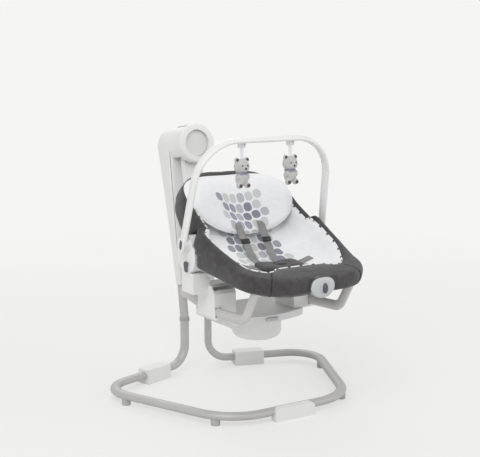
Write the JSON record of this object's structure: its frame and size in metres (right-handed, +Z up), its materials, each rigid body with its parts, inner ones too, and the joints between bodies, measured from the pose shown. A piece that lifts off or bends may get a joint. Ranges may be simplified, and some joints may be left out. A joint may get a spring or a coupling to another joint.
{
  "type": "baby swing",
  "caption": "Baby swing with a tubular floor loop, a leaning motor tower, a swing arm and a lift-off padded rocker seat under a toy bar.",
  "frame": {"origin": "centre of the bounding box on the floor", "axes": "+Z up, the seat faces -Y, X from left to right"},
  "size_m": [0.7426, 0.8634, 0.7893],
  "materials": {
    "grey_tube": "satin grey paint on steel tube",
    "collar_grey": "moulded grey",
    "foot_rubber": "soft grey rubber",
    "white_plastic": "fine satin moulded white",
    "lens_white": "milky diffuser",
    "panel_grey": "pale blue grey",
    "board_green": "solder mask",
    "steel": "plain steel",
    "bronze": "sintered bronze",
    "gear_plastic": "acetal",
    "alloy": "die cast",
    "inlet_black": "black moulded",
    "charcoal_fabric": "fine charcoal weave",
    "white_fabric": "soft white knit",
    "grey_webbing": "grey woven webbing",
    "module_blue_grey": "pale blue grey",
    "plush_grey": "short grey plush"
  },
  "bodies": {
    "stand": {"base_loop": "grey_tube", "rear_legs": "grey_tube", "posts": "grey_tube", "post_collars": "collar_grey", "foot_pads": "foot_rubber", "front_foot_plate": "white_plastic", "rear_feet": "white_plastic", "tower_front_housing": "white_plastic", "tower_rear_cover": "white_plastic", "head_bezel": "white_plastic", "night_light_lens": "lens_white", "light_board": "board_green", "control_panel": "panel_grey", "circuit_board": "board_green", "tower_screws": "steel", "power_inlet": "inlet_black", "shaft_bearings": "bronze", "motor_bracket": "steel", "drive_motor": "steel"},
    "pinion": {"motor_pinion": "gear_plastic"},
    "swing_button": {"swing_button": "panel_grey"},
    "sound_button": {"sound_button": "panel_grey"},
    "light_button": {"light_button": "panel_grey"},
    "swing_arm": {"swing_shaft": "steel", "drive_gear": "gear_plastic", "arm_boss": "alloy", "arm_tube": "steel", "arm_front_shell": "white_plastic", "arm_rear_shell": "white_plastic", "dock_tub": "white_plastic", "dock_platform": "white_plastic"},
    "dock_latch": {"dock_latch": "panel_grey"},
    "seat": {"runners": "grey_tube", "rear_cross_tube": "grey_tube", "legs": "white_plastic", "hubs": "white_plastic", "hinge_pins": "steel", "front_frame_tube": "steel", "front_rim": "charcoal_fabric", "seat_sling": "charcoal_fabric", "seat_pad": "white_fabric", "crotch_pad": "charcoal_fabric", "waist_straps": "grey_webbing", "harness_buckle": "inlet_black", "vibration_module": "module_blue_grey"},
    "vibration_dial": {"vibration_dial": "inlet_black"},
    "recline_button_left": {"recline_button_left": "panel_grey"},
    "recline_button_right": {"recline_button_right": "panel_grey"},
    "backrest": {"recline_discs": "gear_plastic", "back_frame_tube": "steel", "back_panel": "charcoal_fabric", "back_rim": "charcoal_fabric", "back_pad": "white_fabric", "head_support": "white_fabric", "shoulder_straps": "grey_webbing", "strap_adjusters": "inlet_black"},
    "toy_bar": {"toy_bar": "white_plastic", "bar_caps": "white_plastic"},
    "toy_left": {"toy_left": "plush_grey"},
    "toy_right": {"toy_right": "plush_grey"}
  },
  "joints": [
    {"name": "swing", "type": "hinge", "parent": "stand", "child": "swing_arm", "pos_m": [0, 0.30552, 0.72229], "axis": [0, 0.989, -0.1478], "range_deg": [-15, 15]},
    {"name": "pinion_spin", "type": "hinge", "parent": "stand", "child": "pinion", "pos_m": [0, 0.33275, 0.66767], "axis": [0, 0.989, -0.1478], "range_deg": [-61, 61]},
    {"name": "swing_button_press", "type": "slide", "parent": "stand", "child": "swing_button", "axis": [0, -0.1478, -0.989], "range_m": [0, 0.0012], "stiffness_N_per_m": 300},
    {"name": "sound_button_press", "type": "slide", "parent": "stand", "child": "sound_button", "axis": [0, -0.1478, -0.989], "range_m": [0, 0.0012], "stiffness_N_per_m": 300},
    {"name": "light_button_press", "type": "slide", "parent": "stand", "child": "light_button", "axis": [0, -0.1478, -0.989], "range_m": [0, 0.0012], "stiffness_N_per_m": 300},
    {"name": "dock_latch_press", "type": "slide", "parent": "swing_arm", "child": "dock_latch", "axis": [0, 1, 0], "range_m": [0, 0.003], "stiffness_N_per_m": 300},
    {"name": "seat_lift", "type": "slide", "parent": "swing_arm", "child": "seat", "axis": [0, 0, 1], "range_m": [0, 0.15]},
    {"name": "dial_turn", "type": "hinge", "parent": "seat", "child": "vibration_dial", "pos_m": [0, -0.42266, 0.39718], "axis": [0, 1, 0], "range_deg": [0, 120]},
    {"name": "recline_left_press", "type": "slide", "parent": "seat", "child": "recline_button_left", "axis": [1, 0, 0], "range_m": [0, 0.003], "stiffness_N_per_m": 300},
    {"name": "recline_right_press", "type": "slide", "parent": "seat", "child": "recline_button_right", "axis": [-1, 0, 0], "range_m": [0, 0.003], "stiffness_N_per_m": 300},
    {"name": "backrest_recline", "type": "hinge", "parent": "seat", "child": "backrest", "pos_m": [0, -0.06854, 0.447], "axis": [1, 0, 0], "range_deg": [-12, 10]},
    {"name": "toy_bar_tilt", "type": "hinge", "parent": "seat", "child": "toy_bar", "pos_m": [0, -0.08154, 0.482], "axis": [1, 0, 0], "range_deg": [-25, 50]},
    {"name": "toy_left_swing", "type": "hinge", "parent": "toy_bar", "child": "toy_left", "pos_m": [-0.081, -0.13944, 0.75441], "axis": [1, 0, 0], "range_deg": [-35, 35]},
    {"name": "toy_right_swing", "type": "hinge", "parent": "toy_bar", "child": "toy_right", "pos_m": [0.081, -0.13944, 0.75441], "axis": [1, 0, 0], "range_deg": [-35, 35]}
  ],
  "couplings": [
    {"joint": "pinion_spin", "follows": "swing", "ratio": -4}
  ]
}
